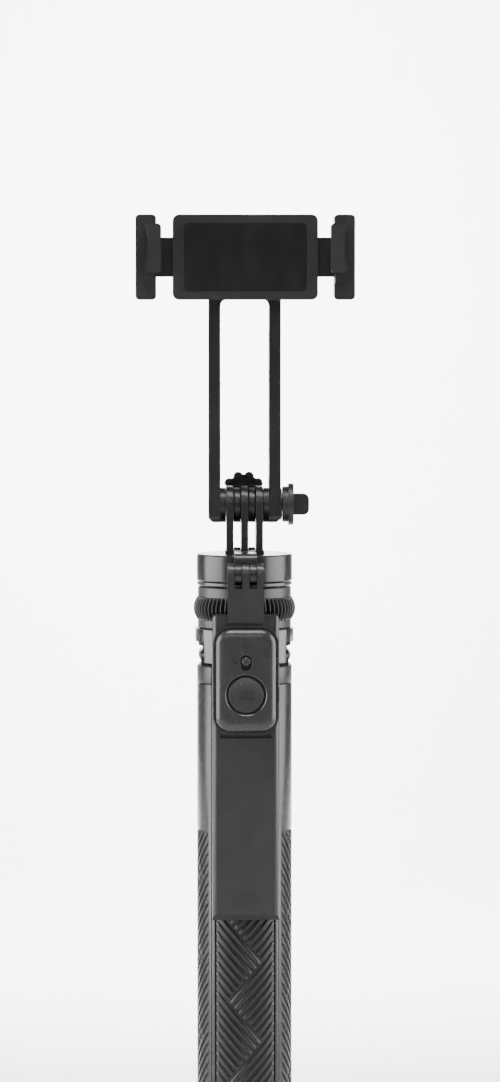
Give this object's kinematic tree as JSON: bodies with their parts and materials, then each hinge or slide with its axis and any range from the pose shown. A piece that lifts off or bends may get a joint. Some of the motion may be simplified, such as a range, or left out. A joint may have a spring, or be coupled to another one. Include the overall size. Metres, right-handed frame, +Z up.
{
  "type": "selfie stick",
  "caption": "Telescopic selfie stick whose grip splits into tripod-style legs, with tilting fork, spring phone clamp and hinged remote holder.",
  "frame": {"origin": "on the stick's axis at the bottom, where the folded feet and the mast's tail plug rest", "axes": "+Z up along the mast, -Y to the front (remote and phone side), +X to the right seen from the front"},
  "size_m": [0.0892, 0.0537, 0.4388],
  "materials": {
    "body_black": "fine-textured injection-moulded black plastic",
    "leg_black": "smooth satin black plastic",
    "satin_grey": "smooth satin dark grey plastic",
    "dark_inner": "plain black plastic",
    "textured_black": "spark-eroded fine texture, black",
    "rubber_black": "moulded black rubber",
    "gloss_trim": "glossy dark trim",
    "tube_alloy": "satin anodised",
    "bush_white": "low-friction natural plastic",
    "cap_black": "satin black plastic",
    "knob_black": "matte black plastic",
    "arm_grey": "satin charcoal plastic",
    "remote_grey": "satin charcoal plastic",
    "button_grey": "satin charcoal plastic",
    "clamp_black": "fine-textured black plastic",
    "steel": "plain steel",
    "board_green": "circuit board lacquer",
    "led_lens": "clear lens"
  },
  "bodies": {
    "handle": {"crown": "body_black", "crown_panels": "satin_grey", "lock_collet": "dark_inner", "leg_hinge_pins": "steel"},
    "lock_ring": {"lock_collar": "textured_black", "lock_grip_band": "rubber_black"},
    "leg_front": {"leg_head_front": "body_black", "leg_shell_front": "leg_black", "leg_grip_front": "rubber_black", "leg_foot_front": "rubber_black"},
    "leg_left": {"leg_head_left": "body_black", "leg_shell_left": "leg_black", "leg_grip_left": "rubber_black", "leg_foot_left": "rubber_black"},
    "leg_right": {"leg_head_right": "body_black", "leg_shell_right": "leg_black", "leg_grip_right": "rubber_black", "leg_foot_right": "rubber_black"},
    "leg_back": {"leg_head_back": "body_black", "leg_shell_back": "leg_black", "leg_grip_back": "rubber_black", "leg_foot_back": "rubber_black"},
    "mast_1": {"mast_tube_1": "tube_alloy", "mast_flange_1": "gloss_trim", "mast_tail_plug": "dark_inner"},
    "mast_2": {"mast_tube_2": "tube_alloy", "mast_bushes_2": "bush_white"},
    "mast_3": {"mast_tube_3": "tube_alloy", "mast_bushes_3": "bush_white"},
    "mast_4": {"mast_tube_4": "tube_alloy", "mast_bushes_4": "bush_white"},
    "head": {"mast_tube_5": "tube_alloy", "mast_bush_5": "bush_white", "cap": "cap_black", "top_bracket": "body_black", "bracket_screws": "steel"},
    "rear_knob": {"rear_knob": "knob_black"},
    "arm": {"arm_hinge_pin": "steel", "arm_plate": "arm_grey", "arm_clip": "steel"},
    "remote": {"remote_front_shell": "remote_grey", "remote_back_shell": "remote_grey", "remote_board": "board_green", "remote_battery": "steel", "remote_led": "led_lens"},
    "shutter": {"shutter_button": "button_grey"},
    "power": {"power_switch": "button_grey"},
    "fork": {"fork": "body_black", "tilt_nut": "steel", "hub_spacers": "body_black"},
    "tilt_screw": {"thumb_screw": "knob_black"},
    "clamp": {"clamp_front_cover": "clamp_black", "clamp_back_cover": "clamp_black", "clamp_rubber_pad": "rubber_black", "clamp_pivot": "knob_black", "clamp_springs": "steel"},
    "jaw_left": {"jaw_left": "clamp_black", "jaw_left_pad": "rubber_black"},
    "jaw_right": {"jaw_right": "clamp_black", "jaw_right_pad": "rubber_black"}
  },
  "joints": [
    {"name": "leg_front_open", "type": "hinge", "parent": "handle", "child": "leg_front", "pos_m": [0, -0.0164, 0.2585], "axis": [-1, 0, 0], "range_deg": [0, 62]},
    {"name": "leg_left_open", "type": "hinge", "parent": "handle", "child": "leg_left", "pos_m": [-0.0164, 0, 0.2585], "axis": [0, 1, 0], "range_deg": [0, 62]},
    {"name": "leg_right_open", "type": "hinge", "parent": "handle", "child": "leg_right", "pos_m": [0.0164, 0, 0.2585], "axis": [0, -1, 0], "range_deg": [0, 62]},
    {"name": "leg_back_open", "type": "hinge", "parent": "handle", "child": "leg_back", "pos_m": [0, 0.0164, 0.2585], "axis": [1, 0, 0], "range_deg": [0, 62]},
    {"name": "lock_twist", "type": "hinge", "parent": "handle", "child": "lock_ring", "pos_m": [0, 0, 0.278], "axis": [0, 0, 1], "range_deg": [0, 45]},
    {"name": "mast_slide_1", "type": "slide", "parent": "handle", "child": "mast_1", "axis": [0, 0, 1], "range_m": [0, 0.225]},
    {"name": "mast_slide_2", "type": "slide", "parent": "mast_1", "child": "mast_2", "axis": [0, 0, 1], "range_m": [0, 0.23]},
    {"name": "mast_slide_3", "type": "slide", "parent": "mast_2", "child": "mast_3", "axis": [0, 0, 1], "range_m": [0, 0.23]},
    {"name": "mast_slide_4", "type": "slide", "parent": "mast_3", "child": "mast_4", "axis": [0, 0, 1], "range_m": [0, 0.23]},
    {"name": "mast_slide_5", "type": "slide", "parent": "mast_4", "child": "head", "axis": [0, 0, 1], "range_m": [0, 0.23]},
    {"name": "rear_knob_turn", "type": "hinge", "parent": "head", "child": "rear_knob", "pos_m": [0, 0.012, 0.324], "axis": [0, 1, 0], "continuous": true},
    {"name": "arm_swing", "type": "hinge", "parent": "head", "child": "arm", "pos_m": [0, -0.0247, 0.2928], "axis": [-1, 0, 0], "range_deg": [0, 62]},
    {"name": "remote_lift", "type": "slide", "parent": "arm", "child": "remote", "axis": [0, -1, 0], "range_m": [0, 0.02]},
    {"name": "shutter_press", "type": "slide", "parent": "remote", "child": "shutter", "axis": [0, 1, 0], "range_m": [0, 0.0006], "stiffness_N_per_m": 1000},
    {"name": "power_slide", "type": "slide", "parent": "remote", "child": "power", "axis": [0, 0, 1], "range_m": [-0.0016, 0]},
    {"name": "fork_tilt", "type": "hinge", "parent": "head", "child": "fork", "pos_m": [0, 0, 0.3202], "axis": [1, 0, 0], "range_deg": [-90, 90]},
    {"name": "tilt_screw_turn", "type": "hinge", "parent": "fork", "child": "tilt_screw", "pos_m": [0.018, 0, 0.3202], "axis": [1, 0, 0], "continuous": true},
    {"name": "clamp_spin", "type": "hinge", "parent": "fork", "child": "clamp", "pos_m": [0, -0.009, 0.4215], "axis": [0, 1, 0], "continuous": true},
    {"name": "jaw_left_slide", "type": "slide", "parent": "clamp", "child": "jaw_left", "axis": [-1, 0, 0], "range_m": [-0.0045, 0.009], "stiffness_N_per_m": 150, "springref_m": -0.0045},
    {"name": "jaw_right_slide", "type": "slide", "parent": "clamp", "child": "jaw_right", "axis": [1, 0, 0], "range_m": [-0.0045, 0.009], "stiffness_N_per_m": 150, "springref_m": -0.0045}
  ],
  "couplings": [
    {"joint": "arm_swing", "follows": "leg_front_open", "ratio": 1}
  ]
}
